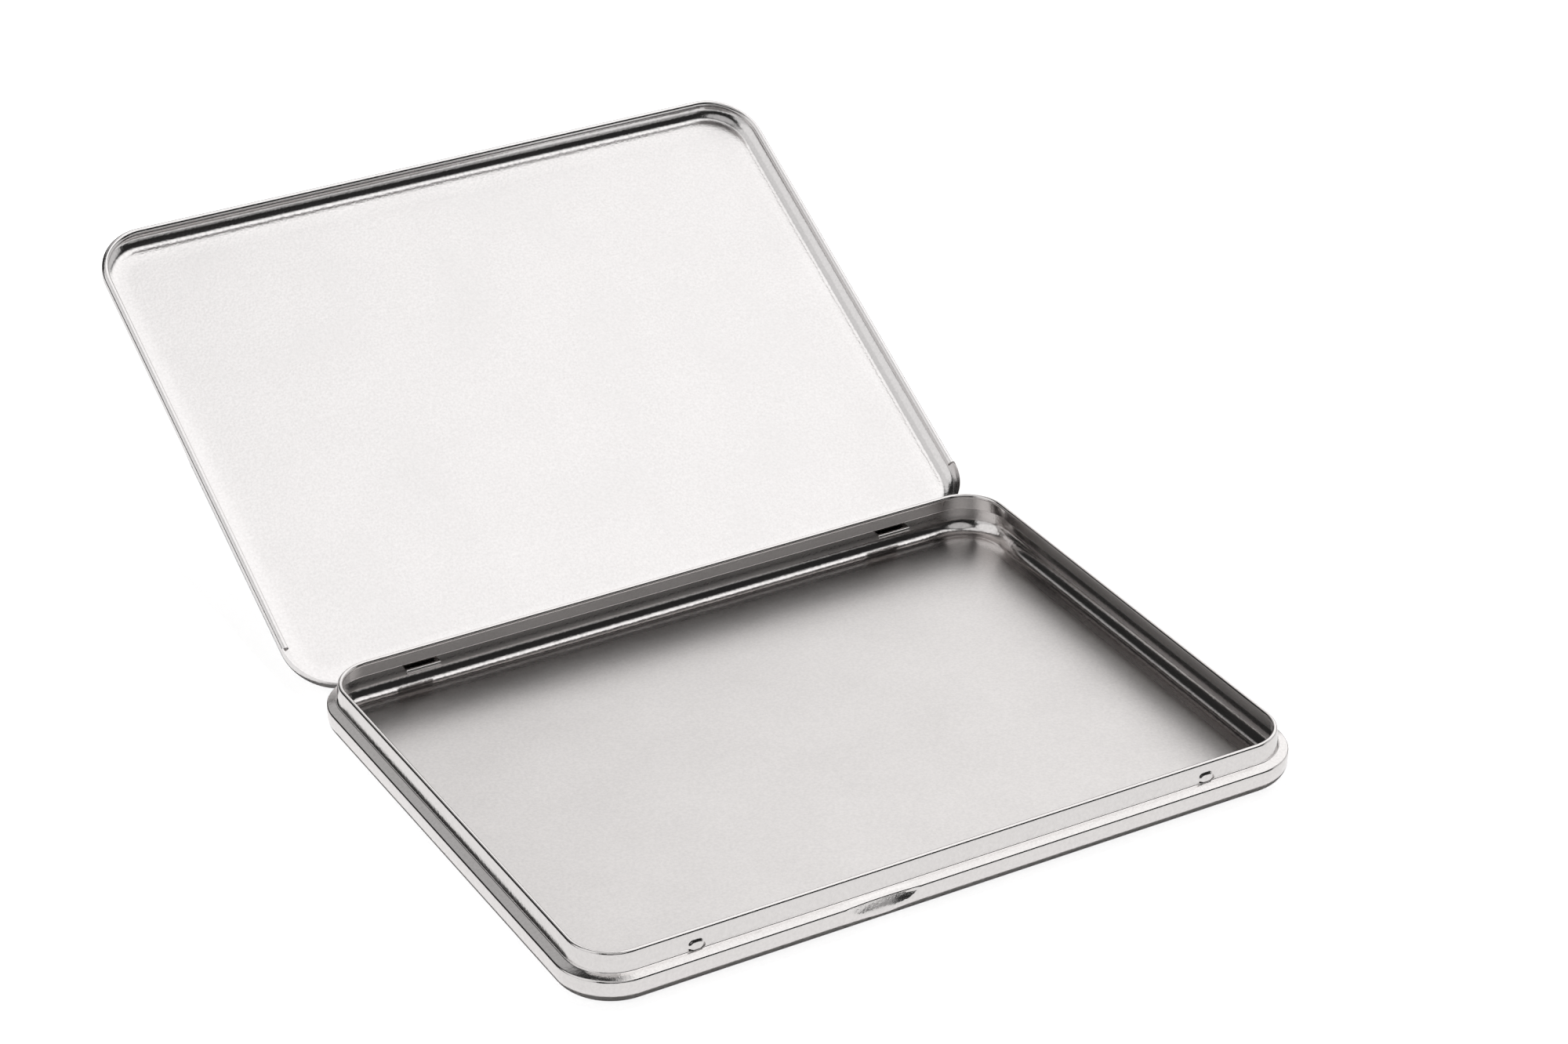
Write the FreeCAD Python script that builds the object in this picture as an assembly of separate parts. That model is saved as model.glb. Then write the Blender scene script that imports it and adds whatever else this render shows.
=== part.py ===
import FreeCAD, Part
import math
import os

from FreeCAD import Vector

# Flat hinged tin box of drawn tinplate, shown open.
# Frame: X along the box, +Y towards the hinges, +Z up. The origin is the middle of the tray's underside.

# ---- driving dimensions, in millimetres and degrees ----
LENGTH = 190.0
DEPTH = 143.0
SHEET = 0.25                  # tinplate thickness
CORNER_RADIUS = 14.0          # outer corner of the plan
FLAT_OVERLAP = 2.0            # how far the wall sections reach into floor and panel

LEDGE_HEIGHT = 7.1            # top of the outer wall, where the ledge for the lid begins
LEDGE_WIDTH = 2.9             # outer wall to the top of the neck's outer face
LEDGE_SLOPE = 18.0            # the ledge rises this much towards the neck
NECK_LEAN = 6.8               # the neck leans in by this much
RIM_HEIGHT = 12.5             # top of the rolled tray rim
RIM_ROLL = 1.25               # width of the rolled tray rim
FOOT_BEND = 4.4               # outer radius between floor and wall
LEDGE_BEND = 0.6              # outer radius of the ledge's edge
NECK_BEND = 0.4               # middle radius between ledge and neck

LID_SEAT_GAP = 0.55           # lid rim above the outer wall, closed
LID_TOP_GAP = 0.3             # lid panel above the tray rim, closed
LID_BEND = 4.0                # outer radius between lid panel and lid wall
LID_ROLL = 1.8                # width of the rolled lid rim
LID_BACK_GAP = 0.3            # lid's back wall behind the tray's back wall
LID_ROLL_END = 1.0            # the rolled rim stops this far before the back corners
ROLL_SWEEP = 255.0            # how far the rims are rolled

OPEN_ANGLE = 151.5            # lid from closed to its open stop
PIN_RADIUS = 0.45             # rolled back edge of the lid, which is the hinge pin
PIN_PLAY = 0.07               # radial play of the pin in the hinge eyes
PIN_HEIGHT = 5.7              # pin axis above the table
EYE_SWEEP = 265.0             # how far an eye wraps round the pin

STRAP_WIDTH = 9.0
STRAP_CENTRE = 66.0           # hinge centre from the middle of the box
STRAP_SIDE_GAP = 0.5          # strap to the lid's cut-out, each side
STRAP_CURL = 0.45             # middle radius of the strap's curled end inside the tray
STRAP_CURL_SWEEP = 210.0      # how far the strap's inner end is curled
STRAP_INSIDE = 0.5            # how far the strap's curl stands in from the neck
CUTOUT_CLEARANCE = 0.45       # lid's cut-out above the eye

SNAP_CENTRE = 66.5            # snap dimples in the front neck
SNAP_HEIGHT = 8.8
SNAP_LENGTH = 4.4
SNAP_WIDTH = 3.0
SNAP_RISE = 0.35
SNAP_ROUND = 0.3

NOTCH_CENTRE = -21.0          # finger dent in the front wall, under the ledge
NOTCH_BOTTOM = 3.0            # lowest point of the dent
NOTCH_CIRCLE = 15.0           # radius of the dent's edge on the wall
NOTCH_BALL = 42.0             # radius of the dent's round surface
NOTCH_FROM = 0.26             # the sheet behind the dent starts this far in from the wall's face

# ---- worked out from the above ----
HALF_LENGTH = LENGTH / 2.0
HALF_DEPTH = DEPTH / 2.0
LID_TOP = RIM_HEIGHT + LID_TOP_GAP + SHEET
LID_RIM = LEDGE_HEIGHT + LID_SEAT_GAP
LID_BACK = HALF_DEPTH + LID_BACK_GAP + SHEET
PIN_Y = HALF_DEPTH + LID_BACK_GAP + PIN_RADIUS
EYE_RADIUS = PIN_RADIUS + PIN_PLAY + SHEET / 2.0
NECK_TOP = RIM_HEIGHT - RIM_ROLL / 2.0 + (RIM_ROLL - SHEET) / 2.0 * math.sin(math.radians(NECK_LEAN))
SNAP_OUT = (NECK_TOP - SNAP_HEIGHT) * math.tan(math.radians(NECK_LEAN))


# ---- bent sheet ----
class SheetLine:
    """Middle line of a bent sheet, walked forward and turned in a plane."""

    def __init__(self, x, y, heading):
        self.x = x
        self.y = y
        self.heading = heading
        self.steps = []

    def forward(self, length):
        angle = math.radians(self.heading)
        start = (self.x, self.y)
        self.x += length * math.cos(angle)
        self.y += length * math.sin(angle)
        self.steps.append(("line", start, (self.x, self.y), self.heading))
        return self

    def turn(self, angle, radius):
        """Follow an arc: left for a positive angle, right for a negative one."""
        side = math.copysign(90.0, angle)
        to_centre = math.radians(self.heading + side)
        centre = (self.x + radius * math.cos(to_centre), self.y + radius * math.sin(to_centre))
        first = self.heading - side
        self.steps.append(("arc", centre, radius, first, first + angle))
        self.heading += angle
        self.x, self.y = polar(centre, radius, first + angle)
        return self

    def legs_to(self, x, y, heading, radius):
        """Lengths of two straights, joined by a bend to heading, that end at (x, y)."""
        first = math.radians(self.heading)
        last = math.radians(heading)
        side = math.copysign(radius, last - first)
        right = x - self.x - side * (math.sin(last) - math.sin(first))
        up = y - self.y - side * (math.cos(first) - math.cos(last))
        before = (right * math.sin(last) - up * math.cos(last)) / math.sin(last - first)
        after = (up * math.cos(first) - right * math.sin(first)) / math.sin(last - first)
        return before, after


def polar(centre, radius, degrees):
    angle = math.radians(degrees)
    return (centre[0] + radius * math.cos(angle), centre[1] + radius * math.sin(angle))


def line_side(step, offset, place):
    """One face of a straight length, offset to its left."""
    ends = [polar(point, offset, step[3] + 90.0) for point in step[1:3]]
    return Part.makeLine(place(*ends[0]), place(*ends[1]))


def arc_side(step, offset, place):
    """One face of a bend, offset to its left."""
    kind, centre, radius, first, last = step
    radius -= math.copysign(offset, offset * (last - first))
    points = [place(*polar(centre, radius, angle)) for angle in (first, (first + last) / 2.0, last)]
    return Part.Arc(*points).toShape()


def sheet_face(line, place):
    """Section of the sheet. place(x, y) puts a point of the section into space."""
    sides = {"line": line_side, "arc": arc_side}
    left = [sides[step[0]](step, SHEET / 2.0, place) for step in line.steps]
    right = [sides[step[0]](step, -SHEET / 2.0, place) for step in line.steps]
    caps = []
    for end in (0, -1):
        caps.append(Part.makeLine(left[end].Vertexes[end].Point, right[end].Vertexes[end].Point))
    return Part.Face(Part.Wire(Part.__sortEdges__(left + right + caps)))


# ---- plan outline ----
def corner_arc(centre_x, centre_y, radius, first, last):
    points = []
    for angle in (first, (first + last) / 2.0, last):
        point = polar((centre_x, centre_y), radius, angle)
        points.append(Vector(point[0], point[1], 0))
    return Part.Arc(*points).toShape()


def outline(half_length, front, back, radius):
    """Rounded rectangle as a list of edges, from the middle of the front anticlockwise."""
    x = half_length - radius
    corners = [
        corner_arc(x, front + radius, radius, -90, 0),
        corner_arc(x, back - radius, radius, 0, 90),
        corner_arc(-x, back - radius, radius, 90, 180),
        corner_arc(-x, front + radius, radius, 180, 270),
    ]
    middle = Vector(0, front, 0)
    edges = []
    last = middle
    for arc in corners:
        edges.append(Part.makeLine(last, arc.Vertexes[0].Point))
        edges.append(arc)
        last = arc.Vertexes[-1].Point
    edges.append(Part.makeLine(last, middle))
    return edges


def plate(front, back, inset, bottom):
    """Flat sheet with rounded corners, set in from the outline by inset."""
    edges = outline(HALF_LENGTH - inset, front + inset, back - inset, CORNER_RADIUS - inset)
    face = Part.Face(Part.Wire(edges))
    face.translate(Vector(0, 0, bottom))
    return face.extrude(Vector(0, 0, SHEET))


# ---- tray ----
def tray_section():
    """Section from the floor outwards, up the wall, in over the ledge, up the neck and round the rim."""
    fold = LEDGE_BEND - SHEET / 2.0
    foot = FOOT_BEND - SHEET / 2.0
    roll = (RIM_ROLL - SHEET) / 2.0
    line = SheetLine(-FOOT_BEND - FLAT_OVERLAP, SHEET / 2.0, 0)
    line.forward(FLAT_OVERLAP).turn(90, foot)
    line.forward(LEDGE_HEIGHT - LEDGE_BEND - FOOT_BEND).turn(90 - LEDGE_SLOPE, fold)
    ledge, neck = line.legs_to(-LEDGE_WIDTH - SHEET / 2.0, NECK_TOP, 90 + NECK_LEAN, NECK_BEND)
    line.forward(ledge).turn(90 + NECK_LEAN - line.heading, NECK_BEND)
    line.forward(neck).turn(ROLL_SWEEP, roll)
    return line


def tray_wall():
    path = Part.Wire(outline(HALF_LENGTH, -HALF_DEPTH, HALF_DEPTH, CORNER_RADIUS))
    section = sheet_face(tray_section(), lambda out, up: Vector(0, -HALF_DEPTH - out, up))
    return path.makePipe(section)


def oval(centre_x, length, width, height, front):
    """Upright oval on the front neck, as a face that looks towards the front."""
    half = (length - width) / 2.0
    radius = width / 2.0
    top_left = Vector(centre_x - half, front, height + radius)
    top_right = Vector(centre_x + half, front, height + radius)
    low_left = Vector(centre_x - half, front, height - radius)
    low_right = Vector(centre_x + half, front, height - radius)
    right_end = Part.Arc(top_right, Vector(centre_x + half + radius, front, height), low_right).toShape()
    left_end = Part.Arc(low_left, Vector(centre_x - half - radius, front, height), top_left).toShape()
    edges = [Part.makeLine(top_left, top_right), right_end, Part.makeLine(low_right, low_left), left_end]
    return Part.Face(Part.Wire(edges))


def snap_body(centre_x, less, front, back):
    """Oval block from back to front with a rounded front edge, leaning with the neck."""
    face = oval(centre_x, SNAP_LENGTH - less, SNAP_WIDTH - less, SNAP_HEIGHT, back)
    block = face.extrude(Vector(0, front - back, 0))
    edges = [edge for edge in block.Edges if abs(edge.BoundBox.YMin - front) < 1e-6
             and abs(edge.BoundBox.YMax - front) < 1e-6]
    snap = block.makeFillet(SNAP_ROUND, edges)
    snap.rotate(Vector(0, -HALF_DEPTH + LEDGE_WIDTH - SNAP_OUT, SNAP_HEIGHT), Vector(1, 0, 0), -NECK_LEAN)
    return snap


def add_snap(tray, centre_x):
    """Dimple pressed out of the neck, hollow from the inside."""
    neck = -HALF_DEPTH + LEDGE_WIDTH - SNAP_OUT
    boss = snap_body(centre_x, 0.0, neck - SNAP_RISE, neck + SHEET / 2.0)
    hollow = snap_body(centre_x, 2.0 * SHEET, neck - SNAP_RISE + SHEET, neck + 2.0 * SHEET)
    return tray.fuse(boss).cut(hollow)


def notch_body(grow, front):
    """Slice of a ball that reaches in through the wall from front, up to the underside of the ledge."""
    reach = math.sqrt(NOTCH_BALL ** 2 - NOTCH_CIRCLE ** 2)
    centre = Vector(NOTCH_CENTRE, -HALF_DEPTH - reach, NOTCH_BOTTOM + NOTCH_CIRCLE)
    ball = Part.makeSphere(NOTCH_BALL + grow, centre)
    deep = NOTCH_BALL - reach
    top = LEDGE_HEIGHT - 2.0 * SHEET + grow
    corner = Vector(NOTCH_CENTRE - 2.0 * NOTCH_CIRCLE, -HALF_DEPTH + front, 0)
    return ball.common(Part.makeBox(4.0 * NOTCH_CIRCLE, deep, top, corner))


def strap_section():
    """Hinge strap: an eye round the pin, a flat length in through the wall and a curled end inside."""
    start = polar((PIN_Y, PIN_HEIGHT), EYE_RADIUS, 90 - EYE_SWEEP)
    line = SheetLine(start[0], start[1], 180 - EYE_SWEEP)
    line.turn(EYE_SWEEP, EYE_RADIUS)
    inner_end = HALF_DEPTH - LEDGE_WIDTH - SHEET - STRAP_INSIDE
    line.forward(line.x - inner_end - STRAP_CURL - SHEET / 2.0)
    line.turn(STRAP_CURL_SWEEP, STRAP_CURL)
    return line


def strap(centre_x):
    face = sheet_face(strap_section(), lambda back, up: Vector(centre_x - STRAP_WIDTH / 2.0, back, up))
    return face.extrude(Vector(STRAP_WIDTH, 0, 0))


def make_tray():
    tray = tray_wall().fuse(plate(-HALF_DEPTH, HALF_DEPTH, FOOT_BEND + FLAT_OVERLAP / 2.0, 0.0))
    for side in (-1.0, 1.0):
        tray = add_snap(tray, side * SNAP_CENTRE)
    tray = tray.fuse(notch_body(SHEET, NOTCH_FROM)).cut(notch_body(0.0, 0.0))
    tray = tray.fuse([strap(-STRAP_CENTRE), strap(STRAP_CENTRE)])
    return tray.removeSplitter()


# ---- lid, made closed ----
def lid_section(rim, rolled):
    """Section from the panel outwards and down the wall to the height of the rim."""
    roll = (LID_ROLL - SHEET) / 2.0
    line = SheetLine(-LID_BEND - FLAT_OVERLAP, LID_TOP - SHEET / 2.0, 0)
    line.forward(FLAT_OVERLAP).turn(-90, LID_BEND - SHEET / 2.0)
    if rolled:
        line.forward(line.y - rim - LID_ROLL / 2.0).turn(-ROLL_SWEEP, roll)
    else:
        line.forward(line.y - rim)
    return line


def lid_rolled_wall():
    """The wall with the rolled rim, along the right side, the front and the left side."""
    back = LID_BACK - CORNER_RADIUS - LID_ROLL_END
    right = Vector(HALF_LENGTH, back, 0)
    left = Vector(-HALF_LENGTH, back, 0)
    x = HALF_LENGTH - CORNER_RADIUS
    y = -HALF_DEPTH + CORNER_RADIUS
    path = Part.Wire([
        Part.makeLine(right, Vector(HALF_LENGTH, y, 0)),
        corner_arc(x, y, CORNER_RADIUS, 0, -90),
        Part.makeLine(Vector(x, -HALF_DEPTH, 0), Vector(-x, -HALF_DEPTH, 0)),
        corner_arc(-x, y, CORNER_RADIUS, 270, 180),
        Part.makeLine(Vector(-HALF_LENGTH, y, 0), left),
    ])
    section = sheet_face(lid_section(LID_RIM, True), lambda out, up: Vector(HALF_LENGTH + out, back, up))
    return path.makePipe(section)


def lid_corner_wall():
    """The plain wall round the back right corner."""
    start = Vector(HALF_LENGTH, LID_BACK - CORNER_RADIUS - LID_ROLL_END, 0)
    arc = corner_arc(HALF_LENGTH - CORNER_RADIUS, LID_BACK - CORNER_RADIUS, CORNER_RADIUS, 0, 90)
    path = Part.Wire([Part.makeLine(start, arc.Vertexes[0].Point), arc])
    section = sheet_face(lid_section(LID_RIM, False), lambda out, up: Vector(HALF_LENGTH + out, start.y, up))
    return path.makePipe(section)


def lid_back_wall():
    """The back wall, cut out round the hinge eyes and rolled along its lower edge to make the pin."""
    half = HALF_LENGTH - CORNER_RADIUS
    section = sheet_face(lid_section(PIN_HEIGHT, False), lambda out, up: Vector(-half, LID_BACK + out, up))
    wall = section.extrude(Vector(2.0 * half, 0, 0))
    width = STRAP_WIDTH + 2.0 * STRAP_SIDE_GAP
    height = EYE_RADIUS + SHEET / 2.0 + CUTOUT_CLEARANCE
    for side in (-1.0, 1.0):
        corner = Vector(side * STRAP_CENTRE - width / 2.0, LID_BACK - 2.0 * SHEET, PIN_HEIGHT)
        wall = wall.cut(Part.makeBox(width, 3.0 * SHEET, height, corner))
    pin = Part.makeCylinder(PIN_RADIUS, 2.0 * half, Vector(-half, PIN_Y, PIN_HEIGHT), Vector(1, 0, 0))
    return wall.fuse(pin)


def make_lid():
    corner = lid_corner_wall()
    other_corner = corner.mirror(Vector(0, 0, 0), Vector(1, 0, 0))
    panel = plate(-HALF_DEPTH, LID_BACK, LID_BEND + FLAT_OVERLAP / 2.0, LID_TOP - SHEET)
    lid = lid_rolled_wall().fuse([corner, other_corner, lid_back_wall(), panel])
    return lid.removeSplitter()


def opened(lid):
    lid.rotate(Vector(0, PIN_Y, PIN_HEIGHT), Vector(1, 0, 0), -OPEN_ANGLE)
    return lid


def save(shape, node):
    solid = shape.Solids[0]
    print(node, "solids", len(shape.Solids), "valid", solid.isValid(), "volume", round(solid.Volume, 1))
    solid.exportStep("parts/" + node + ".step")


os.makedirs("parts", exist_ok=True)
save(make_tray(), "tray")
save(opened(make_lid()), "lid")
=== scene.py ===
import math

import bmesh
import bpy
import numpy as np
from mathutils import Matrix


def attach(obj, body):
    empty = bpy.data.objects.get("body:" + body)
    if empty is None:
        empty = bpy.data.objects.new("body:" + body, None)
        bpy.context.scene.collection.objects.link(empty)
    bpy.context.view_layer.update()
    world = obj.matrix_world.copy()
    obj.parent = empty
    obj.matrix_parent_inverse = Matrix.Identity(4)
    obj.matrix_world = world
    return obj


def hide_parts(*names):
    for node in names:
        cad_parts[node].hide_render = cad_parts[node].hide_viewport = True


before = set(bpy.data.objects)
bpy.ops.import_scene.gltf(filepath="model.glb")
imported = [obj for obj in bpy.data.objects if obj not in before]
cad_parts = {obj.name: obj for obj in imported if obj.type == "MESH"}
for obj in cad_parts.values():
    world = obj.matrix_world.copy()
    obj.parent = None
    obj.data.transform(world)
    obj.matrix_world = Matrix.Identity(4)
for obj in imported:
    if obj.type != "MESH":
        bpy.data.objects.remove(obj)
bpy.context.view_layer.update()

# Flat hinged tin box in the CAD frame: X along the box, +Y towards the hinges, +Z up.
# Sizes are in millimetres and degrees. grid_mesh and strap_mesh turn them into metres.
# They are the CAD's own, but for NOTCH_BALL, which is smaller here and makes the dent a little
# deeper on the wall, and for the sizes in the group that only this script has.

MM = 0.001

# ---- box ----
HALF_LENGTH = 95.0
HALF_DEPTH = 71.5
SHEET = 0.25                # thickness of the tinplate
CORNER = 14.0               # radius of the corners, seen from above

# ---- tray ----
LEDGE_HEIGHT = 7.1          # top of the outer wall, where the ledge starts
LEDGE_SLOPE = 18.0          # the ledge rises this much towards the neck
NECK_LEAN = 6.8             # the neck leans inwards this much
LEDGE_WIDTH = 2.9
RIM_HEIGHT = 12.5
RIM_ROLL = 1.25             # outer diameter of the rolled rim
TRAY_SWEEP = 255.0          # how far round the rim is rolled
FOOT_BEND = 4.4             # outer radius
LEDGE_BEND = 0.6            # outer radius
NECK_BEND = 0.4             # radius of the sheet's middle

# ---- lid, closed ----
LID_RIM = 7.65              # lowest point of the rolled rim
LID_TOP = 13.05             # outer face of the panel
LID_BEND = 4.0              # outer radius
LID_ROLL = 1.8              # outer diameter of the rolled rim
LID_SWEEP = 255.0
LID_BACK = 72.05            # outer face of the back wall
LID_ROLL_END = 1.0          # the roll ends this far before the back corners

# ---- hinges ----
OPEN_ANGLE = 151.5
PIN_Y = 72.25
PIN_Z = 5.7
PIN_RADIUS = 0.45
PIN_END = 81.0              # the pin runs from minus this to plus this
STRAP_CENTRE = 66.0
STRAP_WIDTH = 9.0
STRAP_INNER = 67.85         # innermost face of the strap's curl
STRAP_CURL = 0.45           # radius of the sheet's middle
STRAP_CURL_SWEEP = 210.0
EYE_RADIUS = 0.645          # middle of the sheet that is rolled round the pin
EYE_SWEEP = 265.0
WINDOW_WIDTH = 10.0         # cut in the lid's back wall, round each eye
WINDOW_TOP = 6.92

# ---- snap dimples and finger dent ----
SNAP_CENTRE = 66.5
SNAP_HEIGHT = 8.8
SNAP_LENGTH = 4.4
SNAP_WIDTH = 3.0
SNAP_RISE = 0.35
NOTCH_CENTRE = -21.0
NOTCH_BOTTOM = 3.0          # lowest point of the dent
NOTCH_CIRCLE = 15.0         # radius of the dent's edge on the wall
NOTCH_BALL = 37.0           # radius of the dent's round surface

# ---- only in this script ----
SNAP_SOFT = 0.7             # width of the dimples' soft edge
NECK_BAND = (-3.4, -2.3)    # the neck lies this far in from the wall's face
NOTCH_EDGE_HOLD = 0.7       # share of the dent that the ledge's edge holds back
NOTCH_HOLD_HEIGHTS = (6.3, 6.8)  # and the heights over which it comes in
NOTCH_WALL_FADE = (-1.9, -0.7)  # the dent fades in this far behind the wall's face
NOTCH_TOP = LEDGE_HEIGHT + 1.0
PANEL_WAVE = 0.03           # height of the lid panel's unevenness
PANEL_WAVE_FADE = (3.0, 25.0)
LID_END_RUN = 0.3           # last straight run of a lid edge that isn't rolled
STRAP_EDGE_WIDTH = 0.08     # the strap's side edges are this wide
STRAP_EDGE_SHARE = 0.5      # and come down to this share of its thickness
FLAT_FADE = (4.4, 9.0)      # the finish of the floor and panel starts and is full this far in
SHARP_EDGE = 40.0
JOIN_METRES = 0.000002

# ---- spacing of the mesh ----
SIDE_STEP = 6.0
CORNER_COUNT = 20
COARSE_STEP = 4.0
FINE_STEP_FRONT = 0.25
FINE_STEP_BACK = 0.3
MEASURE_STEP = 0.05
TRAY_FLAT_ROWS = 20
LID_FLAT_ROWS = 24

# ---- tinplate: colour, roughness, more roughness on the flats, strength of the grain's relief ----
TRAY_TIN = ((0.78, 0.755, 0.745), 0.12, 0.28, 0.25)
LID_TIN = ((0.79, 0.77, 0.765), 0.14, 0.13, 0.3)
TINT_LOW = 0.82
TINT_HIGH = 1.04
GRAIN_SCALE = 1500.0
PATCH_SCALE = 45.0
ROUGHNESS_SPREAD = 0.04
GRAIN_METRES = 0.0001

# ---- studio, in metres ----
# Soft boxes that the metal sees: axis, cosine where the light starts, cosine where it is full, strength.
SOFT_BOXES = [
    ((0.40, -0.12, 0.91), 0.88, 0.985, 1.33),
    ((-0.30, 0.03, 0.95), 0.90, 0.95, 0.80),
    ((-0.80, 0.05, 0.60), 0.84, 0.92, 0.95),
    ((0.62, 0.47, 0.63), 0.80, 0.91, 1.25),
    ((0.10, 0.76, 0.63), 0.90, 0.97, 0.50),
    ((-0.18, -0.68, 0.71), 0.90, 0.96, 0.55),
    ((0.96, -0.20, 0.18), 0.86, 0.94, 0.70),
    ((-0.96, -0.20, 0.18), 0.86, 0.94, 0.70),
    ((0.43, -0.90, 0.02), 0.970, 0.995, 0.40),
]
ROOM_DARK = 0.02
DIFFUSE_FILL = 0.05
TABLE_HALF = 1.6
TABLE_WHITE = 0.85
TABLE_GLOW = 0.85
LAMP_PLACE = (0.0, 0.12, 1.3)
LAMP_TARGET = (0.0, 0.05, 0.0)
LAMP_SIDE = 0.14
LAMP_POWER = 17.5
CAMERA_PLACE = (-0.411781, -0.709398, 0.522160)
CAMERA_DOWN = 29.353
CAMERA_TURN = -29.815
CAMERA_LENS = 94.63

# ---- curves ----
def smooth(low, high, x):
    """S-shaped step: 3t^2 - 2t^3, with t = (x - low) / (high - low) kept between 0 and 1."""
    t = np.clip((x - low) / (high - low), 0.0, 1.0)
    return t * t * (3.0 - 2.0 * t)


def walk(start, heading, steps):
    """
    Middle line of a bent sheet. Each step is ("line", length, points) or ("arc", angle, radius, points).
    A line adds t (cos h, sin h) at heading h. An arc turns about a centre one radius to the side that it
    bends to. Returns points and unit normals, which point to the left of the walk.
    """
    x, y = start
    points = [[x, y]]
    headings = [heading]
    for step in steps:
        if step[0] == "line":
            along = np.arange(1, step[2] + 1) / step[2] * step[1]
            angle = math.radians(heading)
            line = np.stack([x + along * math.cos(angle), y + along * math.sin(angle)], 1)
            turned = np.full(step[2], heading)
        else:
            side = math.copysign(90.0, step[1])
            centre_angle = math.radians(heading + side)
            centre = np.array([x + step[2] * math.cos(centre_angle), y + step[2] * math.sin(centre_angle)])
            part = np.arange(1, step[3] + 1) / step[3] * step[1]
            angle = np.radians(heading - side + part)
            line = centre + step[2] * np.stack([np.cos(angle), np.sin(angle)], 1)
            turned = heading + part
            heading += step[1]
        x, y = line[-1]
        points.append(line)
        headings.append(turned)
    points = np.vstack(points)
    normal_angle = np.radians(np.hstack(headings) + 90.0)
    return points, np.stack([np.cos(normal_angle), np.sin(normal_angle)], 1)


def sheet_loop(points, normals):
    """Both faces of the sheet, out along the right face and back along the left one."""
    right = points - normals * SHEET / 2.0
    left = points + normals * SHEET / 2.0
    return np.vstack([right, left[::-1]])


def straight_samples(start, end, marks, coarse, fine):
    """
    Positions from start to end, coarse apart, but fine apart within each mark (centre, half width):
    the count of steps so far is the sum of distance / spacing, read at whole steps.
    """
    sign = 1.0 if end > start else -1.0
    dense = np.arange(0.0, abs(end - start) + 1e-9, MEASURE_STEP)
    position = start + sign * dense
    spacing = np.full(len(dense), coarse)
    for centre, half in marks:
        near = smooth(half + 3.0, half, np.abs(position - centre))
        spacing = np.minimum(spacing, coarse + (fine - coarse) * near)
    count = np.concatenate([[0.0], np.cumsum(MEASURE_STEP / spacing[1:])])
    total = max(int(round(count[-1])), 2)
    wanted = np.linspace(0.0, count[-1], total + 1)
    return np.interp(wanted, count, position)


def corner_samples(centre, first, last, count):
    """Base points c + R (cos a, sin a) and normals (cos a, sin a) on a corner arc, its ends left out."""
    angle = np.radians(np.linspace(first, last, count + 1)[1:-1])
    normal = np.stack([np.cos(angle), np.sin(angle)], 1)
    return np.array(centre) + CORNER * normal, normal


def ring(front, back, marks_front, marks_back):
    """
    Rounded rectangle seen from above, anticlockwise from the middle of the front:
    base points on the outline and unit normals that point outwards.
    """
    x = HALF_LENGTH - CORNER
    low = front + CORNER
    high = back - CORNER
    base = []
    normal = []

    def side(points, out):
        base.append(points)
        normal.append(np.tile(out, (len(points), 1)))

    def arc(centre, first, last):
        points, out = corner_samples(centre, first, last, CORNER_COUNT)
        base.append(points)
        normal.append(out)

    run = straight_samples(0.0, x, marks_front, COARSE_STEP, FINE_STEP_FRONT)
    side(np.stack([run, np.full(len(run), front)], 1), [0.0, -1.0])
    arc((x, low), -90.0, 0.0)
    run = straight_samples(low, high, [], SIDE_STEP, SIDE_STEP)
    side(np.stack([np.full(len(run), HALF_LENGTH), run], 1), [1.0, 0.0])
    arc((x, high), 0.0, 90.0)
    run = straight_samples(x, -x, marks_back, COARSE_STEP, FINE_STEP_BACK)
    side(np.stack([run, np.full(len(run), back)], 1), [0.0, 1.0])
    arc((-x, high), 90.0, 180.0)
    run = straight_samples(high, low, [], SIDE_STEP, SIDE_STEP)
    side(np.stack([np.full(len(run), -HALF_LENGTH), run], 1), [-1.0, 0.0])
    arc((-x, low), 180.0, 270.0)
    run = straight_samples(-x, 0.0, marks_front, COARSE_STEP, FINE_STEP_FRONT)[:-1]
    side(np.stack([run, np.full(len(run), front)], 1), [0.0, -1.0])
    return np.vstack(base), np.vstack(normal)


# ---- meshes ----
def grid_mesh(name, grid, caps=(False, False), wrap_u=True, wrap_v=False):
    """
    Mesh of a grid of points [u, v, xyz] in millimetres. u runs round the box and wraps.
    A cap closes the first or last v with one point at the middle of that row.
    """
    nu, nv = grid.shape[:2]
    points = grid.reshape(-1, 3)
    u = np.arange(nu if wrap_u else nu - 1)
    v = np.arange(nv if wrap_v else nv - 1)
    uu, vv = np.meshgrid(u, v, indexing="ij")
    u2 = (uu + 1) % nu
    v2 = (vv + 1) % nv
    quads = np.stack([uu * nv + vv, u2 * nv + vv, u2 * nv + v2, uu * nv + v2], 2).reshape(-1, 4)
    faces = quads.tolist()
    extra = []
    for at, wanted in zip((0, nv - 1), caps):
        if not wanted:
            continue
        row = np.arange(nu) * nv + at
        hub = len(points) + len(extra)
        extra.append(grid[:, at].mean(0))
        after = np.roll(row, -1)
        order = (after, row) if at == 0 else (row, after)
        faces += np.stack([order[0], order[1], np.full(nu, hub)], 1).tolist()
    if extra:
        points = np.vstack([points, extra])
    mesh = bpy.data.meshes.new(name)
    mesh.from_pydata((points * MM).tolist(), [], faces)
    return finish_mesh(name, mesh)


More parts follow.
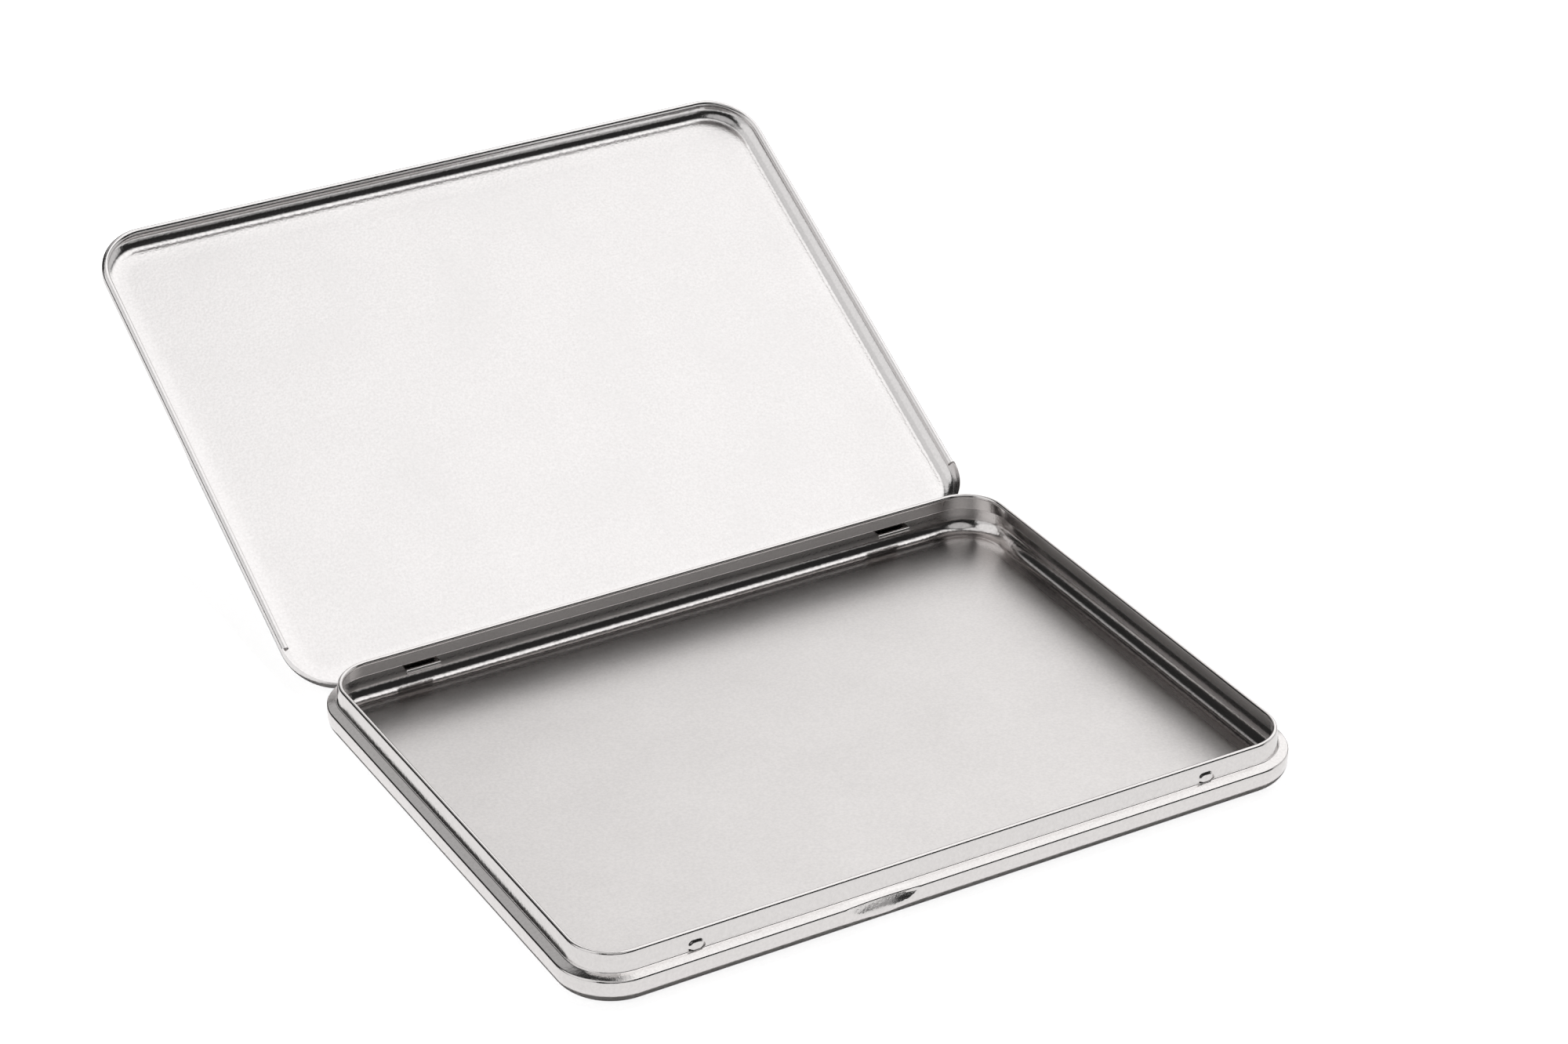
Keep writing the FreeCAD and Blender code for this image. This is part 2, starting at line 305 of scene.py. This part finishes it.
def mark_flat(mesh):
    """
    Attribute "flat": 1 well inside the floor or panel, 0 on walls, bends and rims. It is the product of
    a soft step in |x| and one in |y|. The lid's points are turned shut first.
    """
    places = np.empty(len(mesh.vertices) * 3)
    mesh.vertices.foreach_get("co", places)
    places = places.reshape(-1, 3) / MM
    closed = places.copy()
    angle = math.radians(OPEN_ANGLE)
    y = places[:, 1] - PIN_Y
    z = places[:, 2] - PIN_Z
    in_lid = places[:, 1] > PIN_Y
    closed[in_lid, 1] = (PIN_Y + y * math.cos(angle) - z * math.sin(angle))[in_lid]
    edge_x = smooth(HALF_LENGTH - FLAT_FADE[0], HALF_LENGTH - FLAT_FADE[1], np.abs(closed[:, 0]))
    edge_y = smooth(HALF_DEPTH - FLAT_FADE[0], HALF_DEPTH - FLAT_FADE[1], np.abs(closed[:, 1]))
    layer = mesh.attributes.new("flat", "FLOAT", "POINT")
    layer.data.foreach_set("value", edge_x * edge_y)


def finish_mesh(name, mesh):
    """Joins points that lie on each other, smooths the faces and keeps edges over SHARP_EDGE sharp."""
    work = bmesh.new()
    work.from_mesh(mesh)
    bmesh.ops.remove_doubles(work, verts=work.verts, dist=JOIN_METRES)
    bmesh.ops.recalc_face_normals(work, faces=work.faces)
    work.to_mesh(mesh)
    work.free()
    mesh.shade_smooth()
    mesh.set_sharp_from_angle(angle=math.radians(SHARP_EDGE))
    mark_flat(mesh)
    piece = bpy.data.objects.new(name, mesh)
    bpy.context.scene.collection.objects.link(piece)
    return piece


def sweep(base, normal, out, up):
    """Grid of points base + out * normal, up. out and up are [u, v] or [v]."""
    out = np.broadcast_to(out, (len(base), out.shape[-1]))
    up = np.broadcast_to(up, out.shape)
    plan = base[:, None, :] + normal[:, None, :] * out[:, :, None]
    return np.concatenate([plan, up[:, :, None]], 2)


def with_flat(grid, count):
    """
    Adds the flat inside the sweep: copies of the first and last rows, drawn in towards the middle c
    of the row: x' = c + k (x - c), with the share k in even steps from 0 to 1.
    """
    def rows(edge, shares):
        centre = (edge.min(0) + edge.max(0)) / 2.0
        return centre + (edge - centre)[:, None, :] * shares[None, :, None]

    shares = (np.arange(count) + 1.0) / (count + 1.0)
    return np.concatenate([rows(grid[:, 0], shares), grid, rows(grid[:, -1], shares[::-1])], 1)


# ---- tray ----
def legs_to(start, end, headings, radius):
    """
    Lengths of two straights, joined by a bend from one heading to the other, that lead from start to end:
    the bend takes r (sin b - sin a, cos a - cos b), and the straights share out the rest.
    """
    first, last = np.radians(headings)
    side = math.copysign(radius, last - first)
    right = end[0] - start[0] - side * (math.sin(last) - math.sin(first))
    up = end[1] - start[1] - side * (math.cos(first) - math.cos(last))
    before = (right * math.sin(last) - up * math.cos(last)) / math.sin(last - first)
    after = (up * math.cos(first) - right * math.sin(first)) / math.sin(last - first)
    return before, after


def tray_profile():
    """Section of the tray's sheet: foot bend, wall, sloping ledge, leaning neck, rolled rim."""
    fold = LEDGE_BEND - SHEET / 2.0
    roll = (RIM_ROLL - SHEET) / 2.0
    ledge_heading = 90.0 + 90.0 - LEDGE_SLOPE
    neck_heading = 90.0 + NECK_LEAN
    lean = math.radians(NECK_LEAN)
    neck_top = (-LEDGE_WIDTH - SHEET / 2.0, RIM_HEIGHT - RIM_ROLL / 2.0 + roll * math.sin(lean))
    to_ledge = [
        ("arc", 90.0, FOOT_BEND - SHEET / 2.0, 14),
        ("line", LEDGE_HEIGHT - LEDGE_BEND - FOOT_BEND, 8),
        ("arc", ledge_heading - 90.0, fold, 8),
    ]
    start = (-FOOT_BEND, SHEET / 2.0)
    edge = walk(start, 0.0, to_ledge)[0][-1]
    ledge, neck = legs_to(edge, neck_top, (ledge_heading, neck_heading), NECK_BEND)
    to_rim = [
        ("line", ledge, 6),
        ("arc", neck_heading - ledge_heading, NECK_BEND, 7),
        ("line", neck, 18),
        ("arc", TRAY_SWEEP, roll, 20),
    ]
    return walk(start, 0.0, to_ledge + to_rim)


def snap_rise(x, z):
    """
    Oval dimple: a soft step in the distance from the oval's middle line, up to SNAP_RISE. The step is
    the last SNAP_SOFT inside the oval, and nothing rises outside it.
    """
    straight = (SNAP_LENGTH - SNAP_WIDTH) / 2.0
    away = np.hypot(np.maximum(np.abs(np.abs(x) - SNAP_CENTRE) - straight, 0.0), z - SNAP_HEIGHT)
    return SNAP_RISE * smooth(SNAP_WIDTH / 2.0, SNAP_WIDTH / 2.0 - SNAP_SOFT, away)


def notch_depth(x, z):
    """
    Ball pressed into the front wall: depth = sqrt(R^2 - (x-a)^2 - (z-b)^2) - sqrt(R^2 - c^2).
    Over NOTCH_HOLD_HEIGHTS it loses the share NOTCH_EDGE_HOLD, which the ledge's edge holds back.
    """
    height = NOTCH_BOTTOM + NOTCH_CIRCLE
    reach = math.sqrt(NOTCH_BALL ** 2 - NOTCH_CIRCLE ** 2)
    inside = np.maximum(NOTCH_BALL ** 2 - (x - NOTCH_CENTRE) ** 2 - (z - height) ** 2, 0.0)
    depth = np.maximum(np.sqrt(inside) - reach, 0.0)
    return depth * (1.0 - NOTCH_EDGE_HOLD * smooth(*NOTCH_HOLD_HEIGHTS, z))


def press(base, normal, grid, front_only, depth):
    """Moves the grid's points along the ring's normals: p' = p + depth * front_only * normal."""
    moved = grid.copy()
    shift = depth * front_only[:, None]
    moved[:, :, 0] += normal[:, 0:1] * shift
    moved[:, :, 1] += normal[:, 1:2] * shift
    return moved


def make_tray():
    """
    Tray: its section swept round the ring, with the floor added, snap dimples raised on the neck and the
    finger dent pressed into the front wall.
    """
    marks_front = [(SNAP_CENTRE, 3.5), (-SNAP_CENTRE, 3.5), (NOTCH_CENTRE, 13.0)]
    marks_back = [(STRAP_CENTRE, 8.0), (-STRAP_CENTRE, 8.0)]
    base, normal = ring(-HALF_DEPTH, HALF_DEPTH, marks_front, marks_back)
    loop = sheet_loop(*tray_profile())
    grid = sweep(base, normal, loop[:, 0], loop[:, 1])
    front = (normal[:, 1] < -0.999).astype(float)
    x = grid[:, :, 0]
    z = grid[:, :, 2]
    out = np.broadcast_to(loop[:, 0], x.shape)
    on_neck = (out > NECK_BAND[0]) & (out < NECK_BAND[1]) & (np.abs(z - SNAP_HEIGHT) < SNAP_WIDTH)
    grid = press(base, normal, grid, front, np.where(on_neck, snap_rise(x, z), 0.0))
    on_wall = smooth(*NOTCH_WALL_FADE, out) * (z < NOTCH_TOP)
    grid = press(base, normal, grid, front, -notch_depth(x, z) * on_wall)
    return grid_mesh("tray_shell", with_flat(grid, TRAY_FLAT_ROWS), caps=(True, True))


# ---- lid ----
def lid_profile(kind):
    """
    Section of the lid's sheet: top bend, wall, and a rolled rim or a plain end. Every kind of edge has
    the same number of points.
    """
    if kind == "rolled":
        bottom = LID_RIM + LID_ROLL / 2.0
        end = ("arc", -LID_SWEEP, (LID_ROLL - SHEET) / 2.0, 18)
    else:
        bottom = {"plain": LID_RIM, "deep": PIN_Z, "window": WINDOW_TOP}[kind] + LID_END_RUN
        end = ("line", LID_END_RUN, 18)
    steps = [
        ("arc", -90.0, LID_BEND - SHEET / 2.0, 10),
        ("line", LID_TOP - LID_BEND - bottom, 10),
        end,
    ]
    return walk((-LID_BEND, LID_TOP - SHEET / 2.0), 0.0, steps)


def opened(grid):
    """Turns closed-lid points about the pin to the open stop, by -OPEN_ANGLE in the YZ plane."""
    angle = math.radians(-OPEN_ANGLE)
    y = grid[..., 1] - PIN_Y
    z = grid[..., 2] - PIN_Z
    turned = grid.copy()
    turned[..., 1] = PIN_Y + y * math.cos(angle) - z * math.sin(angle)
    turned[..., 2] = PIN_Z + y * math.sin(angle) + z * math.cos(angle)
    return turned


def panel_wave(x, y):
    """
    Slow unevenness of the lid's panel, fading out at its edges, in millimetres:
    sin(x / 31 + 0.6) cos(y / 23), times its height.
    """
    start, full = PANEL_WAVE_FADE
    inside_x = smooth(HALF_LENGTH - start, HALF_LENGTH - full, np.abs(x))
    inside_y = smooth(HALF_DEPTH - start, HALF_DEPTH - full, np.abs(y))
    wave = PANEL_WAVE * np.sin(x / 31.0 + 0.6) * np.cos(y / 23.0)
    return wave * (inside_x * inside_y)


def make_lid():
    """
    Lid, made closed and then opened: four kinds of section, one for each stretch of the ring. Where the
    kind changes, the same place comes twice, once with each kind.
    """
    marks_back = [(STRAP_CENTRE, 6.5), (-STRAP_CENTRE, 6.5)]
    base, normal = ring(-HALF_DEPTH, LID_BACK, [], marks_back)
    rolled, plain, deep, window = range(4)
    loops = [sheet_loop(*lid_profile(kind)) for kind in ("rolled", "plain", "deep", "window")]
    x, y = base[:, 0], base[:, 1]
    kind = np.where(y > LID_BACK - CORNER - LID_ROLL_END, plain, rolled)
    straight_back = (y > LID_BACK - 0.001) & (np.abs(x) < HALF_LENGTH - CORNER + 0.001)
    kind = np.where(straight_back, deep, kind)
    at_strap = np.abs(np.abs(x) - STRAP_CENTRE) < WINDOW_WIDTH / 2.0
    kind = np.where(straight_back & at_strap, window, kind)
    row = np.arange(len(base))
    later = np.roll(row, -1)
    kept = np.stack([np.ones(len(base), bool), kind != kind[later]], 1)
    picks = np.stack([row, np.where(kind > kind[later], row, later)], 1)[kept]
    kinds = np.stack([kind, np.minimum(kind, kind[later])], 1)[kept]
    out = np.stack([loop[:, 0] for loop in loops])[kinds]
    up = np.stack([loop[:, 1] for loop in loops])[kinds]
    grid = with_flat(sweep(base[picks], normal[picks], out, up), LID_FLAT_ROWS)
    on_panel = grid[..., 2] > LID_TOP - SHEET - 0.05
    grid[..., 2] += panel_wave(grid[..., 0], grid[..., 1]) * on_panel
    return grid_mesh("lid_shell", opened(grid), caps=(True, True))


# ---- hinges ----
def round_bar(name, x_first, x_last, y, z, radius, around=24):
    """Bar along X with domed ends: a circle of radius r sqrt(1 - t^2) over the last part of each end."""
    t = np.linspace(0.0, 1.0, 6)
    scale = np.concatenate([np.sqrt(1.0 - (1.0 - t) ** 2 * 0.999), np.sqrt(1.0 - t ** 2 * 0.999)])
    along = np.concatenate([x_first + radius * 0.5 * t, x_last - radius * 0.5 * (1.0 - t)])
    angle = np.linspace(0.0, 2.0 * math.pi, around, endpoint=False)
    grid = np.empty((around, len(along), 3))
    grid[:, :, 0] = along
    grid[:, :, 1] = y + np.cos(angle)[:, None] * radius * scale
    grid[:, :, 2] = z + np.sin(angle)[:, None] * radius * scale
    return grid_mesh(name, grid, caps=(True, True))


def make_strap(name, centre_x):
    """
    Hinge strap: eye round the pin, flat length in through the wall, curled end inside the tray. The
    section is the same across it, but thinner at its two side edges: p' = m + k (p - m), with m on the
    sheet's middle line.
    """
    start_angle = math.radians(90.0 - EYE_SWEEP)
    start = (PIN_Y + EYE_RADIUS * math.cos(start_angle), PIN_Z + EYE_RADIUS * math.sin(start_angle))
    flat = PIN_Y - STRAP_INNER - STRAP_CURL - SHEET / 2.0
    steps = [("arc", EYE_SWEEP, EYE_RADIUS, 24), ("line", flat, 8), ("arc", STRAP_CURL_SWEEP, STRAP_CURL, 14)]
    points, normals = walk(start, 180.0 - EYE_SWEEP, steps)
    loop = sheet_loop(points, normals)
    half = STRAP_WIDTH / 2.0
    across = np.array([-half + STRAP_EDGE_WIDTH, -half, half, half - STRAP_EDGE_WIDTH])
    middle = np.vstack([points, points[::-1]])
    shrink = np.array([STRAP_EDGE_SHARE, 1.0, 1.0, STRAP_EDGE_SHARE])
    grid = np.empty((len(loop), 4, 3))
    grid[:, :, 0] = centre_x + across
    grid[:, :, 1] = middle[:, None, 0] + (loop - middle)[:, None, 0] * shrink
    grid[:, :, 2] = middle[:, None, 1] + (loop - middle)[:, None, 1] * shrink
    return strap_mesh(name, grid)


def strap_mesh(name, grid):
    """Closed mesh of a ribbon: rows round the section, its two ends closed by a strip of quads."""
    nu, nv = grid.shape[:2]
    points = grid.reshape(-1, 3)
    u = np.arange(nu)
    v = np.arange(nv - 1)
    uu, vv = np.meshgrid(u, v, indexing="ij")
    u2 = (uu + 1) % nu
    quads = np.stack([uu * nv + vv, uu * nv + vv + 1, u2 * nv + vv + 1, u2 * nv + vv], 2).reshape(-1, 4)
    half = nu // 2
    a = np.arange(half - 1)
    b = nu - 1 - a
    first = np.stack([a * nv, (a + 1) * nv, (b - 1) * nv, b * nv], 1)
    last = first[:, ::-1] + nv - 1
    mesh = bpy.data.meshes.new(name)
    mesh.from_pydata((points * MM).tolist(), [], quads.tolist() + first.tolist() + last.tolist())
    return finish_mesh(name, mesh)


# ---- materials ----
def node(tree, kind, **values):
    """New shader node. A value named in_Name goes to the input Name, and the others are settings."""
    made = tree.nodes.new(kind)
    for key, value in values.items():
        if key.startswith("in_"):
            made.inputs[key[3:].replace("_", " ")].default_value = value
        else:
            setattr(made, key, value)
    return made


def tinplate(name, colour, roughness, flat_extra, grain):
    """Satin tinplate: rolled metal with fine grain in its roughness, colour and height."""
    material = bpy.data.materials.new(name)
    material.use_nodes = True
    tree = material.node_tree
    tree.nodes.clear()
    output = node(tree, "ShaderNodeOutputMaterial")
    shader = node(tree, "ShaderNodeBsdfPrincipled")
    shader.inputs["Metallic"].default_value = 1.0
    tree.links.new(shader.outputs["BSDF"], output.inputs["Surface"])
    place = node(tree, "ShaderNodeTexCoord")
    fine = node(tree, "ShaderNodeTexNoise", in_Scale=GRAIN_SCALE, in_Detail=3.0)
    broad = node(tree, "ShaderNodeTexNoise", in_Scale=PATCH_SCALE, in_Detail=2.0)
    for noise in (fine, broad):
        tree.links.new(place.outputs["Object"], noise.inputs["Vector"])
    tint = node(tree, "ShaderNodeMixRGB", blend_type="MIX")
    tint.inputs["Color1"].default_value = tuple(c * TINT_LOW for c in colour) + (1.0,)
    tint.inputs["Color2"].default_value = tuple(c * TINT_HIGH for c in colour) + (1.0,)
    tree.links.new(fine.outputs["Fac"], tint.inputs["Fac"])
    tree.links.new(tint.outputs["Color"], shader.inputs["Base Color"])
    rough = node(tree, "ShaderNodeMapRange")
    rough.inputs["To Min"].default_value = roughness - ROUGHNESS_SPREAD
    rough.inputs["To Max"].default_value = roughness + ROUGHNESS_SPREAD
    tree.links.new(broad.outputs["Fac"], rough.inputs["Value"])
    flat = node(tree, "ShaderNodeAttribute", attribute_name="flat")
    more = node(tree, "ShaderNodeMath", operation="MULTIPLY_ADD")
    more.inputs[1].default_value = flat_extra
    tree.links.new(flat.outputs["Fac"], more.inputs[0])
    tree.links.new(rough.outputs["Result"], more.inputs[2])
    tree.links.new(more.outputs[0], shader.inputs["Roughness"])
    relief = node(tree, "ShaderNodeBump", in_Strength=grain, in_Distance=GRAIN_METRES)
    tree.links.new(fine.outputs["Fac"], relief.inputs["Height"])
    tree.links.new(relief.outputs["Normal"], shader.inputs["Normal"])
    return material


# ---- studio ----
def lobe(tree, coordinates, axis, low, high):
    """0 to 1 as the dot product of the direction and the axis goes from low to high, smoothly."""
    dot = node(tree, "ShaderNodeVectorMath", operation="DOT_PRODUCT")
    tree.links.new(coordinates, dot.inputs[0])
    dot.inputs[1].default_value = axis
    ramp = node(tree, "ShaderNodeMapRange", interpolation_type="SMOOTHSTEP")
    ramp.inputs["From Min"].default_value = low
    ramp.inputs["From Max"].default_value = high
    tree.links.new(dot.outputs["Value"], ramp.inputs["Value"])
    return ramp.outputs["Result"]


def make_world():
    """
    White seen directly. The metal sees dark, with soft boxes: each is a cone of light about an axis,
    and the brightest one counts. Diffuse surfaces get an even, weak fill.
    """
    world = bpy.data.worlds.new("studio")
    bpy.context.scene.world = world
    world.use_nodes = True
    tree = world.node_tree
    tree.nodes.clear()
    output = node(tree, "ShaderNodeOutputWorld")
    white = node(tree, "ShaderNodeBackground", in_Color=(1, 1, 1, 1), in_Strength=1.0)
    room = node(tree, "ShaderNodeBackground", in_Color=(1, 1, 1, 1))
    fill = node(tree, "ShaderNodeBackground", in_Color=(1, 1, 1, 1), in_Strength=DIFFUSE_FILL)
    place = node(tree, "ShaderNodeTexCoord")
    strength = None
    for axis, low, high, level in SOFT_BOXES:
        cone = node(tree, "ShaderNodeMath", operation="MULTIPLY")
        cone.inputs[1].default_value = level
        tree.links.new(lobe(tree, place.outputs["Generated"], axis, low, high), cone.inputs[0])
        brightest = node(tree, "ShaderNodeMath", operation="MAXIMUM")
        brightest.inputs[1].default_value = ROOM_DARK
        tree.links.new(cone.outputs[0], brightest.inputs[0])
        if strength:
            tree.links.new(strength, brightest.inputs[1])
        strength = brightest.outputs[0]
    tree.links.new(strength, room.inputs["Strength"])
    path = node(tree, "ShaderNodeLightPath")
    soft = node(tree, "ShaderNodeMixShader")
    tree.links.new(path.outputs["Is Diffuse Ray"], soft.inputs["Fac"])
    tree.links.new(room.outputs[0], soft.inputs[1])
    tree.links.new(fill.outputs[0], soft.inputs[2])
    mix = node(tree, "ShaderNodeMixShader")
    tree.links.new(path.outputs["Is Camera Ray"], mix.inputs["Fac"])
    tree.links.new(soft.outputs[0], mix.inputs[1])
    tree.links.new(white.outputs[0], mix.inputs[2])
    tree.links.new(mix.outputs[0], output.inputs["Surface"])


def make_floor():
    """White table: a square at height 0 that glows for the camera alone and keeps its soft shadow."""
    mesh = bpy.data.meshes.new("table")
    corners = [(x * TABLE_HALF, y * TABLE_HALF, 0) for x, y in ((-1, -1), (1, -1), (1, 1), (-1, 1))]
    mesh.from_pydata(corners, [], [(0, 1, 2, 3)])
    table = bpy.data.objects.new("table", mesh)
    bpy.context.scene.collection.objects.link(table)
    material = bpy.data.materials.new("table_white")
    material.use_nodes = True
    tree = material.node_tree
    tree.nodes.clear()
    output = node(tree, "ShaderNodeOutputMaterial")
    paper = node(tree, "ShaderNodeBsdfDiffuse", in_Color=(TABLE_WHITE, TABLE_WHITE, TABLE_WHITE, 1))
    glow = node(tree, "ShaderNodeEmission", in_Strength=TABLE_GLOW)
    both = node(tree, "ShaderNodeAddShader")
    mix = node(tree, "ShaderNodeMixShader")
    path = node(tree, "ShaderNodeLightPath")
    tree.links.new(paper.outputs[0], both.inputs[0])
    tree.links.new(glow.outputs[0], both.inputs[1])
    tree.links.new(path.outputs["Is Camera Ray"], mix.inputs["Fac"])
    tree.links.new(paper.outputs[0], mix.inputs[1])
    tree.links.new(both.outputs[0], mix.inputs[2])
    tree.links.new(mix.outputs[0], output.inputs["Surface"])
    mesh.materials.append(material)


def make_lamp():
    """Square lamp over the tin, turned to its target. The metal doesn't mirror it."""
    data = bpy.data.lights.new("lamp_over", "AREA")
    data.shape = "RECTANGLE"
    data.size = LAMP_SIDE
    data.size_y = LAMP_SIDE
    data.energy = LAMP_POWER
    lamp = bpy.data.objects.new("lamp_over", data)
    bpy.context.scene.collection.objects.link(lamp)
    lamp.visible_glossy = False
    lamp.location = LAMP_PLACE
    away = np.array(LAMP_PLACE) - np.array(LAMP_TARGET)
    aside = math.hypot(away[0], away[1])
    lamp.rotation_euler = (math.atan2(aside, away[2]), 0.0, math.atan2(away[0], -away[1]))


def make_camera():
    """Camera in front of the tin's left corner, looking down at it."""
    data = bpy.data.cameras.new("camera")
    data.sensor_width = 36.0
    data.lens = CAMERA_LENS
    data.clip_start = 0.05
    camera = bpy.data.objects.new("camera", data)
    bpy.context.scene.collection.objects.link(camera)
    camera.location = CAMERA_PLACE
    camera.rotation_euler = (math.radians(90.0 - CAMERA_DOWN), 0.0, math.radians(CAMERA_TURN))
    bpy.context.scene.camera = camera


# ---- the tin and its studio ----
tray = make_tray()
lid = make_lid()
pin = round_bar("hinge_pin", -PIN_END, PIN_END, PIN_Y, PIN_Z, PIN_RADIUS)
straps = [make_strap("hinge_strap_left", -STRAP_CENTRE), make_strap("hinge_strap_right", STRAP_CENTRE)]
metal_tray = tinplate("tinplate_tray", *TRAY_TIN)
metal_lid = tinplate("tinplate_lid", *LID_TIN)
for piece in [tray] + straps:
    piece.data.materials.append(metal_tray)
    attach(piece, "tray")
for piece in (lid, pin):
    piece.data.materials.append(metal_lid)
    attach(piece, "lid")
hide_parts("tray")
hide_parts("lid")

make_world()
make_floor()
make_lamp()
make_camera()
bpy.context.scene.view_settings.view_transform = "Standard"
